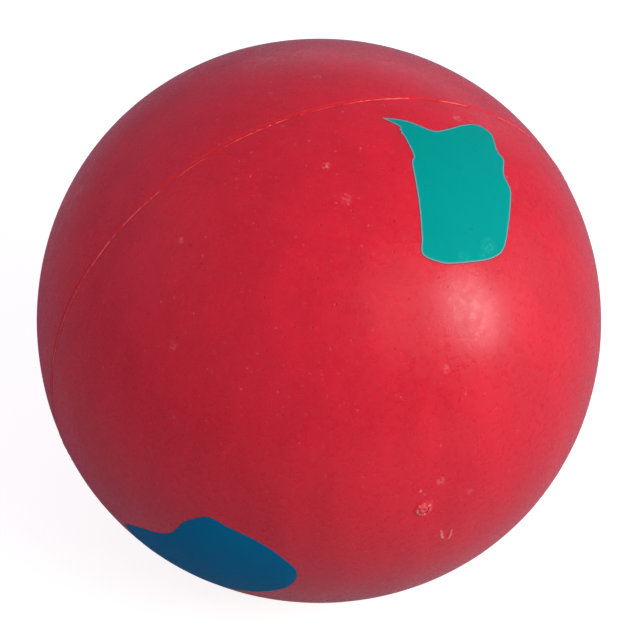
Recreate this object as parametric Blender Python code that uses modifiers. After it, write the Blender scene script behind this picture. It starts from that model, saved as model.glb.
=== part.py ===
"""A moulded rubber playground ball with two coloured rubber inlays and a needle valve.

The ball is modelled about its mould axis: local +Z runs out through the valve and the two
moulded halves meet at local Z = 0. The empty named mould_axis lays that axis along world -Y,
so the valve faces the front. The origin is the centre of the ball. Lengths are in metres.
"""

import math

import bmesh
import bpy
from mathutils import Matrix, Vector

MM = 0.001

# Driving sizes
BALL_RADIUS = 108.0 * MM
COVER_THICKNESS = 1.6 * MM
LINER_THICKNESS = 0.9 * MM
CLEARANCE = 0.3 * MM

STRIP_WIDTH = 16.0 * MM
STRIP_THICKNESS = 0.8 * MM

GROOVE_WIDTH = 2.2 * MM
GROOVE_DEPTH = 0.3 * MM
FLASH_WIDTH = 0.9 * MM
FLASH_PROUD = 0.1 * MM
MOULD_DRAFT = 0.15 * MM

COLLAR_RADIUS = 2.9 * MM
COLLAR_LAND_RADIUS = 2.6 * MM
COLLAR_HEIGHT = 0.6 * MM
PLUG_HEAD_RADIUS = 1.7 * MM
PLUG_BODY_RADIUS = 2.6 * MM
PLUG_BODY_LENGTH = 9.0 * MM
PLUG_RECESS = 0.1 * MM
PLUG_CROWN = 0.2 * MM
NEEDLE_GUIDE_RADIUS = 0.5 * MM
NEEDLE_GUIDE_DEPTH = 1.5 * MM

HOUSING_WALL = 1.4 * MM
HOUSING_BOSS_WALL = 2.2 * MM
HOUSING_FLOOR = 1.5 * MM
FLANGE_RADIUS = 13.0 * MM
FLANGE_THICKNESS = 1.5 * MM
FLANGE_EDGE = 0.6 * MM
AIR_HOLE_RADIUS = 0.8 * MM

INLAY_THICKNESS = 0.5 * MM

# How finely the curves are divided
BALL_SEGMENTS = 48
VALVE_SEGMENTS = 24
ARC_STEP_DEG = 7.5
OUTLINE_STEPS = 3
MERGE_DISTANCE = 0.01 * MM

# Each inlay lies on the valve half. Its centre is given by the angle from the valve and the turn
# round the mould axis, and its outline by points (away from the valve, round the mould axis) in mm.
GREEN_CENTRE_DEG = (71.0, 66.0)
GREEN_OUTLINE = (
    (24, 23), (23, 14), (18, 6), (19.5, 0), (23, -9), (24, -17), (22, -23), (13, -23.5),
    (9.5, -25), (2, -22.5), (-4.5, -24.5), (-12.5, -22), (-29, -16), (-33, -11), (-35.5, -1.5),
    (-37, 10), (-35, 16), (-33, 20), (-15, 19.5), (1, 19), (6, 17.5), (16, 18), (20, 18.5),
)
BLUE_CENTRE_DEG = (45.0, -156.0)
BLUE_OUTLINE = (
    (45, 0), (33, -7), (25, -8.5), (18, -11), (12, -16), (7, -20.5), (0.5, -24), (-6, -25),
    (-11.5, -21), (-19.5, -14), (-25, -5.5), (-27.5, 4), (-27.5, 10.5), (-23.5, 18), (-16, 24.5),
    (-6, 29), (5.5, 32), (16, 34), (28, 33), (39, 26), (46, 14),
)

# Radii and heights that follow from them
COVER_INNER = BALL_RADIUS - COVER_THICKNESS
LINER_OUTER = COVER_INNER - CLEARANCE
LINER_INNER = LINER_OUTER - LINER_THICKNESS
STRIP_OUTER = LINER_INNER - CLEARANCE
PARTING_Z = CLEARANCE / 2
COLLAR_TOP = BALL_RADIUS + COLLAR_HEIGHT
VALVE_HOLE_RADIUS = PLUG_HEAD_RADIUS + CLEARANCE
HOUSING_BORE_RADIUS = PLUG_BODY_RADIUS + CLEARANCE
NECK_RADIUS = HOUSING_BORE_RADIUS + HOUSING_WALL
BOSS_RADIUS = HOUSING_BORE_RADIUS + HOUSING_BOSS_WALL
LINER_HOLE_RADIUS = NECK_RADIUS + CLEARANCE
PLUG_SHOULDER_Z = math.sqrt(COVER_INNER**2 - PLUG_BODY_RADIUS**2) - CLEARANCE
STRIP_EDGE_DEG = math.degrees(math.acos(STRIP_WIDTH / 2 / LINER_INNER))
VALVE_EDGE_DEG = math.degrees(math.asin(LINER_HOLE_RADIUS / LINER_INNER))

RED = (0.62, 0.018, 0.030)
PLUG_RED = (0.66, 0.030, 0.045)
GREEN = (0.004, 0.36, 0.31)
BLUE = (0.005, 0.10, 0.20)
BUTYL_BLACK = (0.030, 0.030, 0.032)
STRIP_GREY = (0.11, 0.10, 0.09)
HOUSING_GREY = (0.055, 0.055, 0.060)


def clear_scene():
    for old in list(bpy.data.objects):
        bpy.data.objects.remove(old, do_unlink=True)


def new_collection(name):
    collection = bpy.data.collections.new(name)
    bpy.context.scene.collection.children.link(collection)
    return collection


def rubber(name, colour, roughness):
    """A matt or satin rubber finish."""
    material = bpy.data.materials.new(name)
    material.use_nodes = True
    shader = material.node_tree.nodes["Principled BSDF"]
    shader.inputs["Base Color"].default_value = (*colour, 1.0)
    shader.inputs["Roughness"].default_value = roughness
    shader.inputs["Metallic"].default_value = 0.0
    material.diffuse_color = (*colour, 1.0)
    return material


def arc(radius, start_deg, end_deg):
    """Profile points (x, z) on a circle about the centre, from one angle off +Z to another.

    Every shell uses the same stations, so that the facets of nested shells stay parallel.
    """
    count = round(180 / ARC_STEP_DEG)
    stations = [step * ARC_STEP_DEG for step in range(count + 1)]
    stations += [VALVE_EDGE_DEG, STRIP_EDGE_DEG, 180 - STRIP_EDGE_DEG]
    low, high = sorted((start_deg, end_deg))
    angles = sorted({low, high, *(angle for angle in stations if low < angle < high)})
    if start_deg > end_deg:
        angles.reverse()
    return [(radius * math.sin(math.radians(a)), radius * math.cos(math.radians(a))) for a in angles]


def angle_at_x(radius, x):
    """The angle off +Z at which a circle is x away from the axis."""
    return math.degrees(math.asin(x / radius))


def angle_at_z(radius, z):
    """The angle off +Z at which a circle is at height z."""
    return math.degrees(math.acos(z / radius))


def on_circle(radius, x):
    """The profile point on a circle's upper side, x away from the axis."""
    return (x, math.sqrt(radius**2 - x**2))


def turned(name, profile, segments, collection, closed=True):
    """Turns a profile of (x, z) points round local Z. The profile runs down its outer side.

    A closed profile stays off the axis. An open one starts and ends on it.
    """
    mesh = bpy.data.meshes.new(name)
    vertices = [(0.0 if abs(x) < MERGE_DISTANCE else x, 0.0, z) for x, z in profile]
    edges = [(i, i + 1) for i in range(len(profile) - 1)]
    if closed:
        edges.append((len(profile) - 1, 0))
    mesh.from_pydata(vertices, edges, [])
    piece = bpy.data.objects.new(name, mesh)
    collection.objects.link(piece)
    screw = piece.modifiers.new("Turn", "SCREW")
    screw.steps = segments
    screw.render_steps = segments
    screw.use_merge_vertices = True
    screw.merge_threshold = MERGE_DISTANCE
    screw.use_smooth_shade = True
    return piece


def mirrored(profile):
    """The same profile on the other side of the parting plane, still running the same way round."""
    return [(x, -z) for x, z in reversed(profile)]


def rim():
    """The cover's edge at the parting plane, from the ball's surface inwards: groove, flash, flat."""
    floor = BALL_RADIUS - GROOVE_DEPTH
    crest = BALL_RADIUS + FLASH_PROUD
    half_groove = GROOVE_WIDTH / 2
    half_flash = FLASH_WIDTH / 2
    return [
        (floor, half_groove - MOULD_DRAFT),
        (floor, half_flash + MOULD_DRAFT),
        (crest, half_flash),
        (crest, PARTING_Z),
    ]


def cover_profile(with_valve):
    """Half the cover above the parting plane, running down its outer side from the pole."""
    lip_angle = angle_at_z(BALL_RADIUS, GROOVE_WIDTH / 2)
    inner_end = angle_at_z(COVER_INNER, PARTING_Z)
    if not with_valve:
        outside = arc(BALL_RADIUS, 0, lip_angle)
        inside = arc(COVER_INNER, inner_end, 0)
        return outside + rim() + inside
    collar = [(VALVE_HOLE_RADIUS, COLLAR_TOP), (COLLAR_LAND_RADIUS, COLLAR_TOP)]
    outside = arc(BALL_RADIUS, angle_at_x(BALL_RADIUS, COLLAR_RADIUS), lip_angle)
    inside = arc(COVER_INNER, inner_end, angle_at_x(COVER_INNER, VALVE_HOLE_RADIUS))
    return collar + outside + rim() + inside


def liner_profile(with_valve):
    """Half the liner above the parting plane, running down its outer side from the pole."""
    start = VALVE_EDGE_DEG if with_valve else 0
    outside = arc(LINER_OUTER, start, angle_at_z(LINER_OUTER, PARTING_Z))
    inside = arc(LINER_INNER, angle_at_z(LINER_INNER, PARTING_Z), start)
    return outside + inside


def strip_profile():
    """The tape across the joint, inside the liner."""
    inner = STRIP_OUTER - STRIP_THICKNESS
    outside = arc(STRIP_OUTER, STRIP_EDGE_DEG, 180 - STRIP_EDGE_DEG)
    inside = arc(inner, 180 - STRIP_EDGE_DEG, STRIP_EDGE_DEG)
    return outside + inside


def housing_profile():
    """The valve body: neck through the liner, flange under it, and a boss with a floor."""
    flange_top = LINER_INNER - CLEARANCE
    neck_top = on_circle(COVER_INNER, NECK_RADIUS)[1] - CLEARANCE
    chamber_floor = PLUG_SHOULDER_Z - PLUG_BODY_LENGTH - CLEARANCE
    boss_bottom = chamber_floor - HOUSING_FLOOR
    edge_x, edge_z = on_circle(flange_top, FLANGE_RADIUS)
    root_z = on_circle(flange_top, BOSS_RADIUS)[1] - FLANGE_THICKNESS
    return [
        (HOUSING_BORE_RADIUS, neck_top),
        (NECK_RADIUS, neck_top),
        on_circle(flange_top, NECK_RADIUS),
        (edge_x, edge_z),
        (edge_x, edge_z - FLANGE_EDGE),
        (BOSS_RADIUS, root_z),
        (BOSS_RADIUS, boss_bottom),
        (AIR_HOLE_RADIUS, boss_bottom),
        (AIR_HOLE_RADIUS, chamber_floor),
        (HOUSING_BORE_RADIUS, chamber_floor),
    ]


def plug_profile():
    """The gum plug: a domed face in the collar, a shoulder under the cover, a body in the housing."""
    crown_z = COLLAR_TOP - PLUG_RECESS
    brow = (NEEDLE_GUIDE_RADIUS + PLUG_HEAD_RADIUS) / 2
    return [
        (0.0, crown_z - NEEDLE_GUIDE_DEPTH),
        (NEEDLE_GUIDE_RADIUS, crown_z),
        (brow, crown_z - PLUG_CROWN / 3),
        (PLUG_HEAD_RADIUS, crown_z - PLUG_CROWN),
        (PLUG_HEAD_RADIUS, PLUG_SHOULDER_Z),
        (PLUG_BODY_RADIUS, PLUG_SHOULDER_Z),
        (PLUG_BODY_RADIUS, PLUG_SHOULDER_Z - PLUG_BODY_LENGTH),
        (0.0, PLUG_SHOULDER_Z - PLUG_BODY_LENGTH),
    ]


def smooth_outline(outline):
    """A smooth closed line through the outline's points, as a Catmull-Rom curve."""
    knots = [Vector(point) * MM for point in outline]
    count = len(knots)
    line = []
    for i in range(count):
        before, start, end, after = (knots[(i + shift) % count] for shift in (-1, 0, 1, 2))
        for step in range(OUTLINE_STEPS):
            t = step / OUTLINE_STEPS
            slope = end - before
            bend = 2 * before - 5 * start + 4 * end - after
            twist = 3 * (start - end) + after - before
            line.append(start + (slope * t + bend * t**2 + twist * t**3) / 2)
    return line


def grown(line, distance):
    """A closed line moved outwards by a distance."""
    area = sum(a.cross(b) for a, b in zip(line, line[1:] + line[:1]))
    side = math.copysign(1, area)
    moved = []
    for i, point in enumerate(line):
        before = (point - line[i - 1]).normalized()
        after = (line[(i + 1) % len(line)] - point).normalized()
        along = (before + after).normalized()
        outwards = Vector((along.y, -along.x)) * side
        moved.append(point + outwards * distance / along.dot(after))
    return moved


def prism(name, outline, centre_deg, grow, collection):
    """An upright block with a smooth outline, standing across the wall at an inlay's centre."""
    line = grown(smooth_outline(outline), grow)
    curve = bpy.data.curves.new(name, "CURVE")
    curve.dimensions = "2D"
    curve.fill_mode = "BOTH"
    curve.extrude = BALL_RADIUS / 2
    spline = curve.splines.new("POLY")
    spline.points.add(len(line) - 1)
    spline.use_cyclic_u = True
    for knot, point in zip(spline.points, line):
        knot.co = (point.x, point.y, 0.0, 1.0)
    flat = bpy.data.objects.new(name + "_outline", curve)
    collection.objects.link(flat)
    mesh = bpy.data.meshes.new_from_object(flat.evaluated_get(bpy.context.evaluated_depsgraph_get()))
    bpy.data.objects.remove(flat, do_unlink=True)
    cleaner = bmesh.new()
    cleaner.from_mesh(mesh)
    bmesh.ops.remove_doubles(cleaner, verts=cleaner.verts, dist=MERGE_DISTANCE)
    bmesh.ops.recalc_face_normals(cleaner, faces=cleaner.faces)
    cleaner.to_mesh(mesh)
    cleaner.free()
    block = bpy.data.objects.new(name, mesh)
    collection.objects.link(block)
    tilt, turn = (math.radians(a) for a in centre_deg)
    place = Matrix.Rotation(turn, 4, "Z") @ Matrix.Rotation(tilt, 4, "Y")
    block.matrix_local = place @ Matrix.Translation((0, 0, BALL_RADIUS))
    return block


def ball(name, radius, collection):
    """A solid ball on the same stations as the cover."""
    return turned(name, arc(radius, 0, 180), BALL_SEGMENTS, collection, closed=False)


def boolean(piece, cutter, operation):
    step = piece.modifiers.new(operation.title(), "BOOLEAN")
    step.operation = operation
    step.solver = "EXACT"
    step.object = cutter


def hide_cutter(cutter):
    cutter.hide_render = True
    cutter.display_type = "WIRE"


def finish_piece(piece, axis, material):
    """Fixes a piece to the mould axis and gives it its rubber."""
    piece.parent = axis
    piece.data.materials.append(material)


def add_inlay(name, outline, centre_deg, material, cover, axis, parts, cutters):
    """A thin sheet set flush in the cover, and the pocket that it lies in."""
    reach = ball(name + "_reach", BALL_RADIUS, cutters)
    under = ball(name + "_under", BALL_RADIUS - INLAY_THICKNESS, cutters)
    floor = ball(name + "_pocket_floor", BALL_RADIUS - INLAY_THICKNESS - CLEARANCE, cutters)
    inlay = prism(name, outline, centre_deg, 0.0, parts)
    boolean(inlay, reach, "INTERSECT")
    boolean(inlay, under, "DIFFERENCE")
    pocket = prism(name + "_pocket", outline, centre_deg, CLEARANCE, cutters)
    boolean(pocket, floor, "DIFFERENCE")
    boolean(cover, pocket, "DIFFERENCE")
    for cutter in (reach, under, floor, pocket):
        cutter.parent = axis
        hide_cutter(cutter)
    finish_piece(inlay, axis, material)


def build():
    clear_scene()
    parts = new_collection("playground_ball")
    cutters = new_collection("cutters")

    axis = bpy.data.objects.new("mould_axis", None)
    axis.rotation_euler = (math.radians(90), 0, 0)
    parts.objects.link(axis)

    red = rubber("red_rubber", RED, 0.42)
    butyl = rubber("butyl_liner", BUTYL_BLACK, 0.6)

    cover = turned("cover_valve_half", cover_profile(True), BALL_SEGMENTS, parts)
    add_inlay("green_inlay", GREEN_OUTLINE, GREEN_CENTRE_DEG, rubber("green_rubber", GREEN, 0.4),
              cover, axis, parts, cutters)
    add_inlay("blue_inlay", BLUE_OUTLINE, BLUE_CENTRE_DEG, rubber("blue_rubber", BLUE, 0.4),
              cover, axis, parts, cutters)
    finish_piece(cover, axis, red)

    plain = mirrored(cover_profile(False))
    finish_piece(turned("cover_plain_half", plain, BALL_SEGMENTS, parts, closed=False), axis, red)

    liner = turned("liner_valve_half", liner_profile(True), BALL_SEGMENTS, parts)
    finish_piece(liner, axis, butyl)
    plain = mirrored(liner_profile(False))
    finish_piece(turned("liner_plain_half", plain, BALL_SEGMENTS, parts, closed=False), axis, butyl)

    strip = turned("seam_strip", strip_profile(), BALL_SEGMENTS, parts)
    finish_piece(strip, axis, rubber("gum_strip", STRIP_GREY, 0.7))
    housing = turned("valve_housing", housing_profile(), VALVE_SEGMENTS, parts)
    finish_piece(housing, axis, rubber("housing_rubber", HOUSING_GREY, 0.6))
    plug = turned("valve_plug", plug_profile(), VALVE_SEGMENTS, parts, closed=False)
    finish_piece(plug, axis, rubber("plug_gum", PLUG_RED, 0.5))


build()
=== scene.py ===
import math

import bmesh
import bpy
import numpy as np
from mathutils import Matrix, Vector, geometry, noise


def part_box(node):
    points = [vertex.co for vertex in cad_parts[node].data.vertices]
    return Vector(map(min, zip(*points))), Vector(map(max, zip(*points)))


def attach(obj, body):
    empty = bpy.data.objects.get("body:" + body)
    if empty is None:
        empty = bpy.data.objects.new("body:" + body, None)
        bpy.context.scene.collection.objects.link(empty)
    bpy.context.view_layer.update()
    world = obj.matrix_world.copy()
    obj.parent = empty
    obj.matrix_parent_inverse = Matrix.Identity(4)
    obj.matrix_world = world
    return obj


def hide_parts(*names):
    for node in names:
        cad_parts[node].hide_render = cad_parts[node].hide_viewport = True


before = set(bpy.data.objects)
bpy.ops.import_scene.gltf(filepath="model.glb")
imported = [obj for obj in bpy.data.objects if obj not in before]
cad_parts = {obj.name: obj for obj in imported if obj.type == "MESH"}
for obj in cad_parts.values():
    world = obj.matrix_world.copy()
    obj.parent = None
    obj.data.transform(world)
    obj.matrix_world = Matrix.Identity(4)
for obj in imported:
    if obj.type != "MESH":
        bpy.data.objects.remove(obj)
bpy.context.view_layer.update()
scene = bpy.context.scene

MM = 0.001

# ---------------------------------------------------------------------------------------------
# Camera. The ball lies with its valve to the front. The view comes from a little to the left of
# the valve and well above it, through a long lens, so that the ball fills the square frame.
# ---------------------------------------------------------------------------------------------
plain_low, plain_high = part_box("cover_plain_half")
BALL_RADIUS = plain_high.y
VIEW_TURN = math.radians(-21.05)
VIEW_RISE = math.radians(43.74)
VIEW_DISTANCE = 20 * BALL_RADIUS

camera_data = bpy.data.cameras.new("camera")
camera_data.lens = 317.6
camera_data.sensor_width = 36
camera_data.shift_x = 0.0024
camera_data.shift_y = 0.0004
camera = bpy.data.objects.new("camera", camera_data)
camera.rotation_euler = (math.radians(90) - VIEW_RISE, 0, VIEW_TURN)
view_axes = camera.rotation_euler.to_matrix()
camera.location = view_axes @ Vector((0, 0, VIEW_DISTANCE))
camera_data.clip_end = 20
scene.collection.objects.link(camera)
scene.camera = camera
scene.view_settings.view_transform = "Standard"


# ---------------------------------------------------------------------------------------------
# Floor and surroundings. A wide pale sheet that looks white to the camera and keeps the ball's
# soft shadow, under an even grey-blue room that the rubber mirrors only faintly.
# ---------------------------------------------------------------------------------------------
FLOOR_HALF_WIDTH = 4.0
FLOOR_LIFT = 0.83
FLOOR_PAPER = (0.44, 0.50, 0.43, 1)
FLOOR_ROOM = (0.39, 0.39, 0.43, 1)
ROOM_LIGHT = (0.33, 0.25, 0.36, 1)

bpy.ops.mesh.primitive_grid_add(size=2 * FLOOR_HALF_WIDTH, x_subdivisions=4, y_subdivisions=4)
floor = bpy.context.object
floor.name = "floor"
floor.location.z = plain_low.z
paper = bpy.data.materials.new("floor_paper")
paper.use_nodes = True
paper.node_tree.nodes.clear()
paper_out = paper.node_tree.nodes.new("ShaderNodeOutputMaterial")
paper_ray = paper.node_tree.nodes.new("ShaderNodeLightPath")
paper_seen = paper.node_tree.nodes.new("ShaderNodeBsdfDiffuse")
paper_seen.inputs["Color"].default_value = FLOOR_PAPER
paper_lift = paper.node_tree.nodes.new("ShaderNodeEmission")
paper_lift.inputs["Strength"].default_value = FLOOR_LIFT
paper_white = paper.node_tree.nodes.new("ShaderNodeAddShader")
paper_room = paper.node_tree.nodes.new("ShaderNodeBsdfDiffuse")
paper_room.inputs["Color"].default_value = FLOOR_ROOM
paper_mix = paper.node_tree.nodes.new("ShaderNodeMixShader")
paper.node_tree.links.new(paper_seen.outputs[0], paper_white.inputs[0])
paper.node_tree.links.new(paper_lift.outputs[0], paper_white.inputs[1])
paper.node_tree.links.new(paper_ray.outputs["Is Camera Ray"], paper_mix.inputs[0])
paper.node_tree.links.new(paper_room.outputs[0], paper_mix.inputs[1])
paper.node_tree.links.new(paper_white.outputs[0], paper_mix.inputs[2])
paper.node_tree.links.new(paper_mix.outputs[0], paper_out.inputs["Surface"])
floor.data.materials.append(paper)

world = bpy.data.worlds.new("studio_room")
world.use_nodes = True
world.node_tree.nodes.clear()
world_out = world.node_tree.nodes.new("ShaderNodeOutputWorld")
world_ray = world.node_tree.nodes.new("ShaderNodeLightPath")
world_room = world.node_tree.nodes.new("ShaderNodeBackground")
world_room.inputs["Color"].default_value = ROOM_LIGHT
world_white = world.node_tree.nodes.new("ShaderNodeBackground")
world_white.inputs["Color"].default_value = (1, 1, 1, 1)
world_mix = world.node_tree.nodes.new("ShaderNodeMixShader")
world.node_tree.links.new(world_ray.outputs["Is Camera Ray"], world_mix.inputs[0])
world.node_tree.links.new(world_room.outputs[0], world_mix.inputs[1])
world.node_tree.links.new(world_white.outputs[0], world_mix.inputs[2])
world.node_tree.links.new(world_mix.outputs[0], world_out.inputs["Surface"])
scene.world = world


# ---------------------------------------------------------------------------------------------
# Lamps. A soft key from the right makes the one soft highlight. A broad front light carries the
# shading across the ball, and faint light from both sides and from behind opens its edges.
# ---------------------------------------------------------------------------------------------
def soft_light(name, towards, distance, width, height, level, colour, in_gloss):
    """An area lamp. towards is (right, up, near) as the camera sees it, and level is how bright
    a white card that faces the lamp at the ball would look."""
    data = bpy.data.lights.new(name, "AREA")
    data.shape = "RECTANGLE"
    data.size = width
    data.size_y = height
    data.energy = level * (math.pi * distance) ** 2
    data.color = colour
    lamp = bpy.data.objects.new(name, data)
    direction = (view_axes @ Vector(towards)).normalized()
    lamp.location = direction * distance
    lamp.rotation_euler = direction.to_track_quat("Z", "Y").to_euler()
    lamp.visible_glossy = in_gloss
    scene.collection.objects.link(lamp)
    return lamp


soft_light("key", (0.885, 0.07, 0.466), 1.3, 0.28, 0.50, 0.27, (1.0, 0.97, 0.95), True)
soft_light("front", (0.56, 0.10, 0.80), 1.5, 0.9, 0.9, 0.58, (1.0, 0.98, 0.97), False)
soft_light("right_rim", (0.97, -0.05, -0.10), 1.5, 1.2, 1.4, 0.15, (1.0, 0.80, 0.90), True)
soft_light("cool_side", (-0.80, 0.40, 0.25), 1.5, 1.2, 1.0, 0.14, (0.90, 0.75, 1.0), False)
soft_light("back", (0.25, 0.60, -0.85), 1.5, 1.4, 0.8, 0.085, (0.84, 0.86, 1.0), True)


# ---------------------------------------------------------------------------------------------
# Cover. Two red rubber half shells, cured together in a two-part mould. The mould axis runs out
# through the valve, along -Y, and the shells meet on the plane across it. The skin is a little
# out of round, as thick soft rubber comes out of the mould.
# ---------------------------------------------------------------------------------------------
MOULD_AXES = Matrix.Rotation(math.radians(90), 3, "X")
COVER_THICKNESS = 1.6 * MM
ROUND_SEGMENTS = 600
SQUARE_ACROSS = Vector((0.93, 0.0, 0.36))
SQUARE_UP = Vector((0.25, 0.72, -0.65))
SQUARE_BULGE = 2.6 * MM
SQUARE_LEAN = 0.2 * MM
SKIN_LUMPS = 0.05 * MM
SKIN_RIPPLES = 0.009 * MM
SKIN_SHRINK = 0.15 * MM


def skin_offset(direction):
    """How far the moulded skin lies from the true ball in a direction from the centre."""
    across = direction.dot(SQUARE_ACROSS)
    up = direction.dot(SQUARE_UP)
    squareness = SQUARE_BULGE * (across * up) ** 2 + SQUARE_LEAN * (across - up)
    lumps = SKIN_LUMPS * noise.noise(direction * 7.0) + SKIN_RIPPLES * noise.noise(direction * 21.0)
    return squareness + lumps - SKIN_SHRINK


# The parting line. The plain half's edge is bevelled, widest on the side where the mould halves
# met a little out of line. The valve half keeps a thin ragged fin of flash, and a fine trimming
# cut runs just beside the fin.
BEVEL_WIDTH = 1.9 * MM
BEVEL_DEPTH = 0.24 * MM
MISMATCH_SIDE = Vector((-0.77, 0.64, 0))
FLASH_PLACE = 0.16 * MM
FLASH_HALF_WIDTH = 0.22 * MM
FLASH_HEIGHT = 0.30 * MM
CUT_PLACE = 0.75 * MM
CUT_HALF_WIDTH = 0.24 * MM
CUT_DEPTH = 0.14 * MM


def smooth_step(low, high, value):
    t = min(max((value - low) / (high - low), 0.0), 1.0)
    return t * t * (3 - 2 * t)


def seam_shape(direction):
    """How far a direction is in the bevel, on the fin and in the trimming cut, each 0 to 1."""
    height = direction.z * BALL_RADIUS
    if abs(height) > 1.5 * BEVEL_WIDTH:
        return 0.0, 0.0, 0.0
    along = Vector((direction.x, direction.y, 0)).normalized()
    wander = 0.12 * MM * noise.noise(along * 14.0) + 0.05 * MM * noise.noise(along * 60.0)
    met_square = ((1 + along.dot(MISMATCH_SIDE)) / 2) ** 2
    edge = BEVEL_WIDTH * (0.30 + 0.75 * met_square + 0.15 * noise.noise(along * 5.0))
    bevel = smooth_step(-edge, -0.7 * edge, height)
    bevel *= 1 - smooth_step(-0.05 * MM, 0.1 * MM, height)
    ragged = 0.55 + 0.85 * noise.noise(along * 9.0) + 0.85 * noise.noise(along * 75.0)
    fin = math.exp(-(((height - FLASH_PLACE - wander) / FLASH_HALF_WIDTH) ** 2))
    cut = math.exp(-(((height - CUT_PLACE - wander) / CUT_HALF_WIDTH) ** 2))
    cut *= smooth_step(-0.35, 0.2, noise.noise(along * 11.0 + Vector((5, 0, 0))))
    cut *= 1.2 - 0.7 * met_square
    return bevel, fin * min(max(ragged, 0.05), 1.1), cut


# The valve collar: a low moulded ring round the needle hole, with a faint sink round its foot.
valve_low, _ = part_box("cover_valve_half")
COLLAR_HEIGHT = -valve_low.y - BALL_RADIUS
COLLAR_HOLE = 1.95 * MM
COLLAR_LAND = 2.7 * MM
COLLAR_FOOT = 4.1 * MM
COLLAR_SINK = 0.18 * MM
COLLAR_RUBBED = 0.12 * MM


def collar_shape(direction):
    """The collar's height over the skin and how strongly a highlight is painted on its crest, for a
    direction near the valve.
    """
    reach = math.acos(min(direction.z, 1.0)) * BALL_RADIUS
    if reach > 4 * COLLAR_FOOT:
        return 0.0, 0.0
    turn = math.atan2(direction.y, direction.x)
    about = Vector((math.cos(turn), math.sin(turn), 0))
    chewed = 0.13 * MM * noise.noise(about * 2.2) + 0.06 * MM * noise.noise(about * 7.0)
    foot = COLLAR_FOOT * (1 + 0.10 * noise.noise(about * 1.7 + Vector((9, 0, 0))))
    ring = 1 - smooth_step(COLLAR_LAND, foot, reach)
    sink = math.exp(-(((reach - 1.35 * COLLAR_FOOT) / (0.6 * COLLAR_FOOT)) ** 2))
    # Painted highlight: the collar's crest is washed pale in broken patches.
    painted_highlight = ring * (0.55 + 0.9 * noise.noise(about * 3.1 + Vector((0, 4, 0))))
    return (COLLAR_HEIGHT - COLLAR_RUBBED + chewed) * ring - COLLAR_SINK * sink, max(painted_highlight, 0.0)


# A shallow horseshoe dent beside the valve, where the ball once sat against a hot mould edge.
DENT_PLACE_DEG = (10.0, -60.5)
DENT_PATH_MM = ((-1.6, -0.9), (2.5, -2.4), (5.5, -2.3), (6.4, -1.1), (4.6, 0.8), (2.1, 2.3))
DENT_HALF_WIDTH = 0.55 * MM
DENT_RIM = 0.30 * MM
DENT_FLOOR = 0.20 * MM
HOLLOW_PLACE_MM = (2.6, -0.2)
HOLLOW_REACH = 2.2 * MM
DENT_REACH = 12 * MM


def place_on_ball(polar_deg, turn_deg):
    """Axes that stand on the ball: the last points outward, the first away from the valve."""
    turned_about = Matrix.Rotation(math.radians(turn_deg), 3, "Z")
    return turned_about @ Matrix.Rotation(math.radians(polar_deg), 3, "Y")


DENT_AXES = place_on_ball(*DENT_PLACE_DEG)
DENT_LINE = [Vector(point) * MM for point in DENT_PATH_MM]


def gap_to_line(spot, corners):
    """How far a spot lies from the straight runs between the corners."""
    gaps = []
    for start, end in zip(corners, corners[1:]):
        run = end - start
        share = min(max((spot - start).dot(run) / run.length_squared, 0.0), 1.0)
        gaps.append((spot - start - run * share).length)
    return min(gaps)


def dent_shape(direction):
    """The raised lip of the horseshoe, and the hollow inside it, each 0 to 1."""
    beside = DENT_AXES.transposed() @ direction * BALL_RADIUS
    spot = beside.xy
    if beside.z < 0 or spot.length > DENT_REACH:
        return 0.0, 0.0
    lip = math.exp(-((gap_to_line(spot, DENT_LINE) / DENT_HALF_WIDTH) ** 2))
    lip *= 0.65 + 0.7 * noise.noise(beside * 700)
    from_hollow = (spot - Vector(HOLLOW_PLACE_MM) * MM).length
    hollow = math.exp(-((from_hollow / HOLLOW_REACH) ** 4))
    return max(lip, 0.0), hollow * (1 - min(max(lip, 0.0), 1.0))


# The skin's rings lie close together where the shape is fine: round the collar, over the dent and
# along the parting line.
SEAM_NEAR = 6 * MM
SEAM_FINE = 2.4 * MM
SEAM_STEP = 0.12 * MM
COLLAR_STEP = 0.16 * MM
DENT_STEP = 0.5 * MM
INSIDE_STEP = 14 * MM


def spread(start, end, step):
    """Distances from start to end in even steps, without the last."""
    count = max(1, round((end - start) / step))
    return [start + (end - start) * i / count for i in range(count)]


def ring_distances(side):
    """How far each ring of the outer skin lies from its pole, along the surface."""
    seam = BALL_RADIUS * math.pi / 2
    near_seam = spread(seam - SEAM_NEAR, seam - SEAM_FINE, 0.9 * MM)
    near_seam += spread(seam - SEAM_FINE, seam, SEAM_STEP) + [seam]
    if side > 0:
        rings = spread(COLLAR_HOLE, 4.2 * MM, COLLAR_STEP) + spread(4.2 * MM, 12 * MM, 0.6 * MM)
        rings += spread(12 * MM, 27 * MM, DENT_STEP)
        return rings + spread(27 * MM, seam - SEAM_NEAR, 2.7 * MM) + near_seam
    return spread(2.0 * MM, seam - SEAM_NEAR, 2.0 * MM) + near_seam


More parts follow.
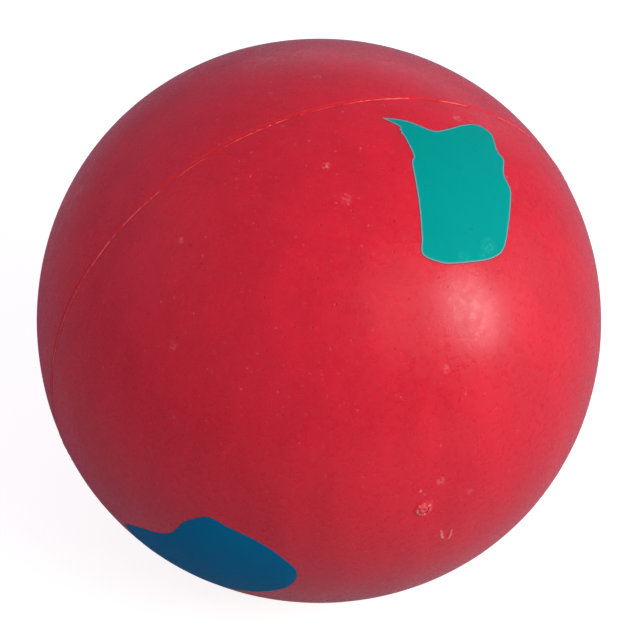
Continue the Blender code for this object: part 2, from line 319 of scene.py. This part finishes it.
def cover_half(name, side):
    """One half shell as a closed mesh. side is 1 for the valve half and -1 for the plain half.
    Its point attributes say where a highlight is painted pale, where the bevel is painted brighter as if
    lit and is kept clean, and where shade is painted dark."""
    outer = ring_distances(side)
    inner_radius = BALL_RADIUS - COVER_THICKNESS
    inner = list(reversed(spread(outer[0], BALL_RADIUS * math.pi / 2, INSIDE_STEP)))
    points = []
    marks = []
    for level, distance in enumerate(outer + [BALL_RADIUS * math.pi / 2] + inner):
        polar = distance / BALL_RADIUS
        for segment in range(ROUND_SEGMENTS):
            turn = 2 * math.pi * segment / ROUND_SEGMENTS
            direction = Vector((math.sin(polar) * math.cos(turn), math.sin(polar) * math.sin(turn),
                                math.cos(polar) * side))
            if level >= len(outer):
                points.append(MOULD_AXES @ (direction * inner_radius))
                marks.append((0.0, 0.0, 0.0))
                continue
            bevel, fin, cut = seam_shape(direction)
            radius = BALL_RADIUS + skin_offset(direction)
            radius += FLASH_HEIGHT * fin - BEVEL_DEPTH * bevel - CUT_DEPTH * cut
            # Painted highlight: a pale wash on the fin's crest. Painted shade: a dark wash in the
            # trimming cut.
            painted_highlight, painted_shade = fin, cut
            if side > 0:
                collar, collar_highlight = collar_shape(direction)
                lip, hollow = dent_shape(direction)
                radius += collar + DENT_RIM * lip - DENT_FLOOR * hollow
                # Painted highlight also on the collar's crest and on the dent's lip.
                painted_highlight = max(painted_highlight, 0.85 * collar_highlight, 1.2 * lip)
                # Painted shade: a faint dark wash in the dent's hollow.
                painted_shade = max(painted_shade, 0.25 * hollow)
            points.append(MOULD_AXES @ (direction * radius))
            # The bevel mask also carries painted light: the bevel is washed brighter and free of sheen,
            # besides being clean of dust.
            marks.append((painted_highlight, bevel, painted_shade))
    rings = len(outer) + 1 + len(inner)
    faces = []
    for ring in range(rings if side > 0 else rings - 1):
        start = ring * ROUND_SEGMENTS
        following = (ring + 1) % rings * ROUND_SEGMENTS
        for segment in range(ROUND_SEGMENTS):
            beside = (segment + 1) % ROUND_SEGMENTS
            quad = (start + segment, following + segment, following + beside, start + beside)
            faces.append(quad if side > 0 else quad[::-1])
    if side < 0:
        for ring, flipped in ((0, False), (rings - 1, True)):
            row = [ring * ROUND_SEGMENTS + segment for segment in range(ROUND_SEGMENTS)]
            pole = len(points)
            rim_radius = points[row[0]].length
            points.append(MOULD_AXES @ Vector((0, 0, -rim_radius)))
            marks.append((0.0, 0.0, 0.0))
            for segment in range(ROUND_SEGMENTS):
                corner = (row[segment], row[(segment + 1) % ROUND_SEGMENTS], pole)
                faces.append(corner if flipped else corner[::-1])
    mesh = bpy.data.meshes.new(name)
    mesh.from_pydata(points, [], faces)
    for column, mark in enumerate(("painted_highlight", "clean_and_painted_light", "painted_shade")):
        layer = mesh.attributes.new(mark, "FLOAT", "POINT")
        layer.data.foreach_set("value", [mark_row[column] for mark_row in marks])
    mesh.shade_smooth()
    mesh.set_sharp_from_angle(angle=math.radians(50))
    half = bpy.data.objects.new(name, mesh)
    scene.collection.objects.link(half)
    return half


valve_half = cover_half("red_cover_valve_half", 1)
plain_half = cover_half("red_cover_plain_half", -1)


def node(tree, kind, feeds=None, **settings):
    """A new node. feeds gives its inputs, by name or number, each a value or another's output."""
    made = tree.nodes.new(kind)
    for name, value in settings.items():
        setattr(made, name, value)
    for name, value in (feeds or {}).items():
        if isinstance(value, bpy.types.NodeSocket):
            tree.links.new(value, made.inputs[name])
        else:
            made.inputs[name].default_value = value
    return made


def cloud(tree, where, scale, detail, roughness=0.5):
    """Soft noise over the surface, scale per metre."""
    feeds = {"Vector": where, "Scale": scale, "Detail": detail, "Roughness": roughness}
    return node(tree, "ShaderNodeTexNoise", feeds).outputs["Fac"]


def ramp(tree, value, low, high):
    """Smoothly 0 at low and 1 at high."""
    feeds = {"Value": value, "From Min": low, "From Max": high}
    return node(tree, "ShaderNodeMapRange", feeds, interpolation_type="SMOOTHSTEP").outputs[0]


def maths(tree, operation, first, second):
    return node(tree, "ShaderNodeMath", {0: first, 1: second}, operation=operation).outputs[0]


def tint(tree, share, under, over):
    """The colour over laid on the colour under, as thickly as share says."""
    return node(tree, "ShaderNodeMix", {0: share, 6: under, 7: over}, data_type="RGBA").outputs[2]


def flecks(tree, where, scale, radius, share):
    """Scattered small spots: only that share of the cells holds one, each as strong as it likes."""
    cells = node(tree, "ShaderNodeTexVoronoi", {"Vector": where, "Scale": scale})
    chance = node(tree, "ShaderNodeSeparateColor", {0: cells.outputs["Color"]})
    spot = ramp(tree, cells.outputs["Distance"], radius, 0.35 * radius)
    return maths(tree, "MULTIPLY", spot, ramp(tree, chance.outputs[0], 1 - share, 1.0))


# The moulded rubber's skin, shared by every piece: fine grit, small pits, pale specks of dust,
# and soft streaks where the rubber flowed in the mould.
skin = bpy.data.node_groups.new("moulded_rubber_skin", "ShaderNodeTree")
SKIN_SOCKETS = (
    ("Vector", "INPUT", "NodeSocketVector"), ("Colour", "INPUT", "NodeSocketColor"),
    ("Dark Colour", "INPUT", "NodeSocketColor"), ("Dust And Sheen Colour", "INPUT", "NodeSocketColor"),
    ("Dust And Sheen", "INPUT", "NodeSocketFloat"), ("Roughness", "INPUT", "NodeSocketFloat"),
    ("Colour", "OUTPUT", "NodeSocketColor"), ("Roughness", "OUTPUT", "NodeSocketFloat"),
    ("Height", "OUTPUT", "NodeSocketFloat"),
)
for socket_name, flow, kind in SKIN_SOCKETS:
    skin.interface.new_socket(name=socket_name, in_out=flow, socket_type=kind)
given = node(skin, "NodeGroupInput").outputs
wobble = node(skin, "ShaderNodeTexNoise", {"Vector": given["Vector"], "Scale": 1400.0, "Detail": 1.0})
nudge = node(skin, "ShaderNodeVectorMath", {0: wobble.outputs["Color"], "Scale": 0.0007},
             operation="SCALE")
torn = node(skin, "ShaderNodeVectorMath", {0: given["Vector"], 1: nudge.outputs[0]}).outputs[0]
flow_axes = node(skin, "ShaderNodeMapping", {"Vector": given["Vector"], "Scale": (1.0, 1.0, 0.22)})
streaks = cloud(skin, flow_axes.outputs[0], 70.0, 3.0)
mottle = cloud(skin, given["Vector"], 330.0, 3.0, 0.6)
grit = cloud(skin, given["Vector"], 1300.0, 2.0, 0.7)
specks = maths(skin, "MAXIMUM", flecks(skin, torn, 240.0, 0.14, 0.7),
               maths(skin, "MULTIPLY", flecks(skin, torn, 520.0, 0.22, 0.8), 0.45))
pits = flecks(skin, torn, 300.0, 0.15, 0.75)
scratch_axes = node(skin, "ShaderNodeMapping", {"Vector": torn, "Scale": (1.0, 0.2, 0.3),
                                                "Rotation": (0.5, 0.9, 0.2)})
scratches = flecks(skin, scratch_axes.outputs[0], 300.0, 0.10, 0.3)
marks = maths(skin, "MAXIMUM", specks, maths(skin, "MULTIPLY", scratches, 0.6))
# A faint pale film over the whole skin, partly dust and partly painted sheen.
dust_and_sheen_film = maths(skin, "MULTIPLY", maths(skin, "ADD", ramp(skin, mottle, 0.3, 0.8), grit), 0.035)
settled_dust_and_sheen = maths(skin, "ADD", maths(skin, "MULTIPLY", marks, 0.6), dust_and_sheen_film)
# The dust amount sets both the pale dust specks and the painted sheen film.
dust_and_sheen = maths(skin, "MULTIPLY", given["Dust And Sheen"], settled_dust_and_sheen)
shades = maths(skin, "MULTIPLY", maths(skin, "ADD", ramp(skin, streaks, 0.3, 0.7), grit), 0.5)
toned = tint(skin, shades, given["Colour"], given["Dark Colour"])
pitted = tint(skin, maths(skin, "MULTIPLY", pits, 0.24), toned, (0.0, 0.0, 0.0, 1))
dust_and_sheen_tinted = tint(skin, dust_and_sheen, pitted, given["Dust And Sheen Colour"])
uneven = maths(skin, "MULTIPLY", maths(skin, "SUBTRACT", mottle, 0.5), 0.45)
rough = maths(skin, "ADD", given["Roughness"], uneven)
rough = maths(skin, "ADD", rough, maths(skin, "MULTIPLY", marks, 0.2))
relief = maths(skin, "ADD", maths(skin, "MULTIPLY", mottle, 0.30), maths(skin, "MULTIPLY", grit, 0.42))
relief = maths(skin, "ADD", relief, maths(skin, "MULTIPLY", marks, 0.35))
relief = maths(skin, "SUBTRACT", relief, pits)
node(skin, "NodeGroupOutput", {"Colour": dust_and_sheen_tinted, "Roughness": rough, "Height": relief})


def scuffs(tree, where, places):
    """Spots at (polar, turn) on the ball, for a pale rubbed tint and for a darker tint, each with its
    reach in millimetres and its strength. They are broken up by grit, so that none reads as a plain disc."""
    grain = ramp(tree, cloud(tree, where, 700.0, 3.0, 0.7), 0.42, 0.62)
    total = 0.0
    for polar_deg, turn_deg, reach_mm, strength in places:
        centre = MOULD_AXES @ place_on_ball(polar_deg, turn_deg).col[2] * BALL_RADIUS
        away = node(tree, "ShaderNodeVectorMath", {0: where, 1: centre}, operation="DISTANCE")
        spot = ramp(tree, away.outputs["Value"], reach_mm * MM, 0.25 * reach_mm * MM)
        total = maths(tree, "MAXIMUM", total, maths(tree, "MULTIPLY", spot, strength))
    return maths(tree, "MULTIPLY", total, grain)


def moulded_rubber(name, colour, dark, dust_and_sheen_colour, dust_and_sheen_amount, roughness, bump_mm,
                   scuffed=(), darkened=(), washes=()):
    """A rubber material with the shared skin, and bump_mm as the depth of the skin's relief.
    Each wash is a point attribute, its low and high value, its colour and how thick it lies."""
    material = bpy.data.materials.new(name)
    material.use_nodes = True
    tree = material.node_tree
    shader = tree.nodes["Principled BSDF"]
    where = node(tree, "ShaderNodeTexCoord").outputs["Object"]
    feeds = {"Vector": where, "Colour": (*colour, 1), "Dark Colour": (*dark, 1),
             "Dust And Sheen Colour": (*dust_and_sheen_colour, 1), "Dust And Sheen": dust_and_sheen_amount, "Roughness": roughness}
    surface = node(tree, "ShaderNodeGroup", feeds, node_tree=skin)
    shown = surface.outputs["Colour"]
    # Darkened spots: the colour is tinted darker there, with no dent shape built.
    if darkened:
        shown = tint(tree, scuffs(tree, where, darkened), shown, (*(0.45 * part for part in colour), 1))
    if scuffed:
        shown = tint(tree, scuffs(tree, where, scuffed), shown, (*dust_and_sheen_colour, 1))
    for attribute, low, high, wash_colour, thickness in washes:
        layer = node(tree, "ShaderNodeAttribute", attribute_name=attribute).outputs["Fac"]
        share = maths(tree, "MULTIPLY", ramp(tree, layer, low, high), thickness)
        shown = tint(tree, share, shown, (*wash_colour, 1))
    bump = node(tree, "ShaderNodeBump", {"Distance": bump_mm * MM, "Height": surface.outputs["Height"]})
    tree.links.new(shown, shader.inputs["Base Color"])
    tree.links.new(surface.outputs["Roughness"], shader.inputs["Roughness"])
    tree.links.new(bump.outputs["Normal"], shader.inputs["Normal"])
    material.diffuse_color = (*colour, 1)
    return material


RED_SCUFFS = (
    (112.0, 143.3, 3.0, 0.6), (111.6, 148.1, 2.5, 0.5), (77.2, 127.1, 2.0, 0.5), (62.5, 142.8, 2.5, 0.4),
    (81.5, 149.0, 1.5, 0.4), (75.8, 93.9, 2.2, 0.8), (88.7, 98.0, 1.3, 0.6), (99.3, 96.6, 1.5, 0.4),
    (100.5, 86.3, 2.5, 0.3), (67.8, 92.8, 3.0, 0.3), (5.0, 96.1, 0.9, 0.8), (3.7, 86.1, 0.8, 0.6),
    (7.1, 58.2, 2.6, 0.5), (15.0, -40.8, 1.2, 0.7), (10.1, 2.8, 2.2, 0.3), (12.2, -109.0, 1.0, 0.6),
    (30.7, 75.1, 2.5, 0.4), (85.3, 61.2, 2.5, 0.8),
)
RED_DARKENED_SPOTS = (
    (70.3, 126.2, 0.9, 0.9), (62.8, 140.8, 0.9, 0.8), (60.8, 84.2, 0.9, 0.9), (71.8, 80.6, 0.9, 0.9),
    (32.0, 20.1, 1.3, 0.9), (44.2, 36.5, 1.0, 0.8), (38.5, 47.9, 1.0, 0.8), (8.5, 59.5, 0.8, 1.0),
)
RED_WASHES = (
    # Painted light, partly clean rubber: the bevel is washed a brighter, saturated red without sheen.
    ("clean_and_painted_light", 0.2, 0.8, (0.80, 0.012, 0.010), 0.80),
    # Painted shade: the trimming cut and the dent's hollow are washed dark.
    ("painted_shade", 0.2, 0.9, (0.30, 0.004, 0.010), 0.75),
    # Painted highlight: the fin, the collar's crest and the dent's lip are washed pale pink.
    ("painted_highlight", 0.25, 0.85, (0.95, 0.30, 0.28), 0.80),
)
red_rubber = moulded_rubber("red_rubber", (0.745, 0.008, 0.024), (0.600, 0.005, 0.019),
                            (0.84, 0.24, 0.27), 0.6, 0.30, 0.16, RED_SCUFFS, RED_DARKENED_SPOTS, RED_WASHES)
red_shader = red_rubber.node_tree.nodes["Principled BSDF"]
red_shader.inputs["Sheen Weight"].default_value = 0.06
red_shader.inputs["Sheen Roughness"].default_value = 0.45
red_shader.inputs["Sheen Tint"].default_value = (0.75, 0.82, 1.0, 1)
for half, cad_node in ((valve_half, "cover_valve_half"), (plain_half, "cover_plain_half")):
    half.data.materials.append(red_rubber)
    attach(half, "root")
    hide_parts(cad_node)


# ---------------------------------------------------------------------------------------------
# Valve plug. A soft gum plug pressed up through the collar's hole from inside. Its face is a low
# dome with the small dimple that guides the inflating needle.
# ---------------------------------------------------------------------------------------------
PLUG_PROFILE_MM = ((0.0, -1.1), (0.20, -0.9), (0.38, -0.20), (0.52, 0.10), (0.80, 0.26), (1.15, 0.24),
                   (1.50, 0.10), (1.76, -0.12), (1.82, -0.60), (1.82, -2.4), (2.6, -2.5), (2.6, -9.0),
                   (0.0, -9.0))
PLUG_SINK = 0.12 * MM
PLUG_SHIFT_MM = Vector((0.02, -0.10, 0))
PLUG_UNEVEN = 0.16 * MM
PLUG_SEGMENTS = 96


def valve_plug():
    """The plug as a turned body, its face slightly uneven from trimming."""
    ring_mesh = bmesh.new()
    rows = []
    for reach, rise in PLUG_PROFILE_MM:
        height = BALL_RADIUS + COLLAR_HEIGHT - PLUG_SINK + rise * MM
        if reach == 0.0:
            rows.append([ring_mesh.verts.new(MOULD_AXES @ Vector((0, 0, height)))])
            continue
        row = []
        for segment in range(PLUG_SEGMENTS):
            turn = 2 * math.pi * segment / PLUG_SEGMENTS
            spot = Vector((math.cos(turn), math.sin(turn), 0)) * reach + PLUG_SHIFT_MM
            uneven = PLUG_UNEVEN * noise.noise(spot * 1.6 + Vector((3.1, 0, 0))) if rise > -1 else 0
            row.append(ring_mesh.verts.new(MOULD_AXES @ (spot * MM + Vector((0, 0, height + uneven)))))
        rows.append(row)
    for upper, lower in zip(rows, rows[1:]):
        for segment in range(PLUG_SEGMENTS):
            beside = (segment + 1) % PLUG_SEGMENTS
            if len(upper) == 1:
                ring_mesh.faces.new((upper[0], lower[segment], lower[beside]))
            elif len(lower) == 1:
                ring_mesh.faces.new((upper[segment], lower[0], upper[beside]))
            else:
                ring_mesh.faces.new((upper[segment], lower[segment], lower[beside], upper[beside]))
    mesh = bpy.data.meshes.new("gum_valve_plug")
    ring_mesh.to_mesh(mesh)
    ring_mesh.free()
    mesh.shade_smooth()
    mesh.set_sharp_from_angle(angle=math.radians(60))
    plug = bpy.data.objects.new("gum_valve_plug", mesh)
    scene.collection.objects.link(plug)
    return plug


plug = valve_plug()
# The plug's pale pink is partly a lighter gum and partly painted highlight on its lit dome.
plug.data.materials.append(moulded_rubber("plug_gum", (0.85, 0.085, 0.100), (0.70, 0.030, 0.040),
                                          (0.84, 0.30, 0.30), 0.8, 0.42, 0.06))
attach(plug, "root")
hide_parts("valve_plug")


# ---------------------------------------------------------------------------------------------
# Inlays. Thin sheets of coloured rubber, torn to a free shape, laid in the mould and cured flush
# into the cover's skin on the valve half. The green one shows a pale cut edge all round.
# Both are also painted with a thin dark shadow line just inside their edge.
# ---------------------------------------------------------------------------------------------
INLAY_THICKNESS = 0.5 * MM
OUTLINE_STEP = 0.5 * MM
GRID_STEP = 0.75 * MM
EDGE_LINES = (0.12 * MM, 0.35 * MM, 0.60 * MM, 0.80 * MM, 1.10 * MM)
EDGE_ROUNDING = 0.14 * MM
EDGE_SUNK = 0.01 * MM
EDGE_PROUD = 0.085 * MM
MIDDLE_PROUD = 0.045 * MM
TEAR_SCALE = 0.55


def torn_outline(outline, ragged_mm, seed):
    """A closed Catmull-Rom line through the outline's points, slightly ragged like a torn edge."""
    knots = [Vector(point) * MM for point in outline]
    count = len(knots)
    line = []
    for i in range(count):
        before, start, end, after = (knots[(i + shift) % count] for shift in (-1, 0, 1, 2))
        steps = max(3, round((end - start).length / OUTLINE_STEP))
        for step in range(steps):
            t = step / steps
            slope = end - before
            bend = 2 * before - 5 * start + 4 * end - after
            twist = 3 * (start - end) + after - before
            line.append(start + (slope * t + bend * t**2 + twist * t**3) / 2)
    for i, point in enumerate(line):
        spot = Vector((point.x, point.y, seed)) / MM
        shift = Vector((noise.noise(spot * TEAR_SCALE),
                        noise.noise(spot * TEAR_SCALE + Vector((40, 0, 0)))))
        line[i] = point + shift * ragged_mm * MM
    return line


def sheet_points(line):
    """Points inside a closed line: rows that follow its edge, and a grid over the middle. Gives
    them with the line's own points first, and how far each is from the edge."""
    edge = np.array(line)
    following = np.roll(edge, -1, axis=0)
    along = following - edge
    turned_in = np.stack([-along[:, 1], along[:, 0]], axis=1)
    turned_in /= np.linalg.norm(turned_in, axis=1, keepdims=True)
    middles = edge + along / 2
    rows = [middles + turned_in * inset for inset in EDGE_LINES]
    low, high = edge.min(axis=0), edge.max(axis=0)
    across = np.arange(low[0], high[0], GRID_STEP)
    up = np.arange(low[1], high[1], GRID_STEP)
    grid = np.stack(np.meshgrid(across, up), axis=-1).reshape(-1, 2)
    rows.append(grid)
    insets = (*EDGE_LINES, EDGE_LINES[-1] + 0.5 * GRID_STEP)
    kept = [edge]
    distances = [np.zeros(len(edge))]
    for row, inset in zip(rows, insets):
        away = row[:, None, :] - edge[None]
        share = np.clip((away * along).sum(-1) / (along**2).sum(-1), 0, 1)
        gap = np.linalg.norm(away - share[..., None] * along, axis=-1).min(axis=1)
        level = row[:, None, 1]
        spans = (edge[None, :, 1] > level) != (following[None, :, 1] > level)
        climbed = away[..., 1] / np.where(along[:, 1] == 0, 1e-12, along[:, 1])
        crossed = spans & (row[:, None, 0] < edge[None, :, 0] + climbed * along[:, 0])
        inside = (crossed.sum(axis=1) % 2 == 1) & (gap > 0.93 * inset)
        kept.append(row[inside])
        distances.append(gap[inside])
    return np.concatenate(kept), np.concatenate(distances), len(edge)


def inlay(name, outline, centre_deg, ragged_mm, seed):
    """A thin sheet that follows the skin. Its point attribute edge_mm is the distance from its
    edge, which its material reads for the cut edge and for a painted shadow line along it."""
    line = torn_outline(outline, ragged_mm, seed)
    if sum(a.cross(b) for a, b in zip(line, line[1:] + line[:1])) < 0:
        line.reverse()
    places, distances, border = sheet_points(line)
    bounds = [(i, (i + 1) % border) for i in range(border)]
    flat, _, triangles, origins, _, _ = geometry.delaunay_2d_cdt(
        [Vector(place) for place in places], bounds, [], 1, 1e-7)
    axes = place_on_ball(*centre_deg)
    points = []
    edges_mm = []
    for place, sources in zip(flat, origins):
        distance = distances[sources[0]] if sources else 0.0
        direction = axes @ Vector((place.x, place.y, math.sqrt(BALL_RADIUS**2 - place.length_squared)))
        direction.normalize()
        rise = EDGE_PROUD + (MIDDLE_PROUD - EDGE_PROUD) * smooth_step(0.3 * MM, 1.2 * MM, distance)
        rise -= (EDGE_SUNK + EDGE_PROUD) * (1 - smooth_step(0, EDGE_ROUNDING, distance))
        points.append(MOULD_AXES @ (direction * (BALL_RADIUS + skin_offset(direction) + rise)))
        edges_mm.append(distance / MM)
    mesh = bpy.data.meshes.new(name)
    mesh.from_pydata(points, [], triangles)
    layer = mesh.attributes.new("edge_mm", "FLOAT", "POINT")
    layer.data.foreach_set("value", edges_mm)
    mesh.shade_smooth()
    piece = bpy.data.objects.new(name, mesh)
    scene.collection.objects.link(piece)
    back = piece.modifiers.new("Back", "SOLIDIFY")
    back.thickness = INLAY_THICKNESS
    back.offset = -1.0
    return piece


GREEN_OUTLINE = (
    (24.8, 23.8), (23.9, 17), (22.2, 12.2), (18.6, 4.9), (20.1, -2), (23.3, -10), (25, -17.8),
    (21.6, -23.5), (13.3, -23.1), (9.2, -24.9), (2, -22.6), (-4.5, -23.9), (-11.5, -22), (-18.8, -19.7),
    (-29.6, -15.4), (-34, -8.8), (-35.9, -0.5), (-37, 8.8), (-36.4, 14.0), (-33.5, 20.3), (-26.5, 20.1),
    (-14.8, 19.5), (1.9, 18.7), (6.1, 17.1), (11.7, 17.6), (15.8, 18.3), (16.9, 19.2), (17.4, 18.4),
    (18.8, 19.0), (19.6, 18.2), (22.5, 21.3),
)
GREEN_SCUFFS = ((55.4, 60.7, 4.5, 0.55), (52.3, 68.1, 4.0, 0.35), (53.4, 62.5, 2.5, 0.4))
GREEN_DARKENED_SPOTS = ((58.5, 65.2, 1.0, 0.5), (66.4, 69.2, 1.3, 0.3), (67.5, 74.9, 1.0, 0.4))
GREEN_WASHES = (
    ("edge_mm", 0.78, 0.64, (0.31, 0.33, 0.35), 0.88),
    # Painted shadow: a thin dark line just inside the green's edge.
    ("edge_mm", 0.34, 0.20, (0.16, 0.015, 0.05), 0.85),
)
green_inlay = inlay("green_rubber_inlay", GREEN_OUTLINE, (71.0, 66.0), 0.10, 1.0)
green_rubber = moulded_rubber("green_rubber", (0.0, 0.350, 0.288), (0.0, 0.330, 0.274),
                              (0.03, 0.46, 0.40), 0.4, 0.5, 0.05, GREEN_SCUFFS, GREEN_DARKENED_SPOTS, GREEN_WASHES)
green_rubber.node_tree.nodes["Principled BSDF"].inputs["Specular IOR Level"].default_value = 0.03
green_inlay.data.materials.append(green_rubber)
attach(green_inlay, "root")
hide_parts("green_inlay")

BLUE_OUTLINE = (
    (45, 0), (33, -7), (25, -8.8), (17.3, -11.3), (11.5, -16), (6.6, -20.7), (0, -24), (-6.6, -25.3),
    (-12, -21.3), (-20, -14), (-25.4, -5.8), (-28.1, 3.5), (-28.3, 10.2), (-24, 17.9),
    (-16.4, 24.2), (-6.4, 28.6), (5, 31.9), (15.5, 34), (28, 33), (39, 26), (46, 14),
)
# Painted shadow: a thin dark line just inside the blue's edge.
BLUE_WASHES = (("edge_mm", 0.20, 0.08, (0.10, 0.01, 0.04), 0.7),)
blue_inlay = inlay("blue_rubber_inlay", BLUE_OUTLINE, (45.0, -156.0), 0.22, 7.0)
blue_rubber = moulded_rubber("blue_rubber", (0.0, 0.195, 0.355), (0.0, 0.180, 0.330),
                             (0.03, 0.38, 0.52), 0.3, 0.5, 0.05, washes=BLUE_WASHES)
blue_rubber.node_tree.nodes["Principled BSDF"].inputs["Specular IOR Level"].default_value = 0.03
blue_inlay.data.materials.append(blue_rubber)
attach(blue_inlay, "root")
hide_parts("blue_inlay")


# ---------------------------------------------------------------------------------------------
# Inside pieces. The butyl liner, the gum tape over its joint and the flanged valve housing keep
# their built shape. Calendered sheet shows talc and a faint grain; the housing is plain moulded.
# ---------------------------------------------------------------------------------------------
INSIDE_FINISHES = {
    "butyl_liner": ((0.030, 0.030, 0.032), (0.020, 0.020, 0.022), (0.30, 0.30, 0.29), 0.7, 0.62),
    "gum_strip": ((0.110, 0.100, 0.090), (0.080, 0.072, 0.066), (0.38, 0.36, 0.33), 0.8, 0.70),
    "housing_rubber": ((0.055, 0.055, 0.060), (0.040, 0.040, 0.044), (0.30, 0.30, 0.30), 0.4, 0.58),
}
INSIDE_NODES = {
    "liner_valve_half": "butyl_liner",
    "liner_plain_half": "butyl_liner",
    "seam_strip": "gum_strip",
    "valve_housing": "housing_rubber",
}
INSIDE_BUMP_MM = 0.12
inside_materials = {
    slot_name: moulded_rubber(slot_name, *finish, INSIDE_BUMP_MM)
    for slot_name, finish in INSIDE_FINISHES.items()
}
for node_name, slot_name in INSIDE_NODES.items():
    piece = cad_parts[node_name]
    piece.data.materials.clear()
    piece.data.materials.append(inside_materials[slot_name])
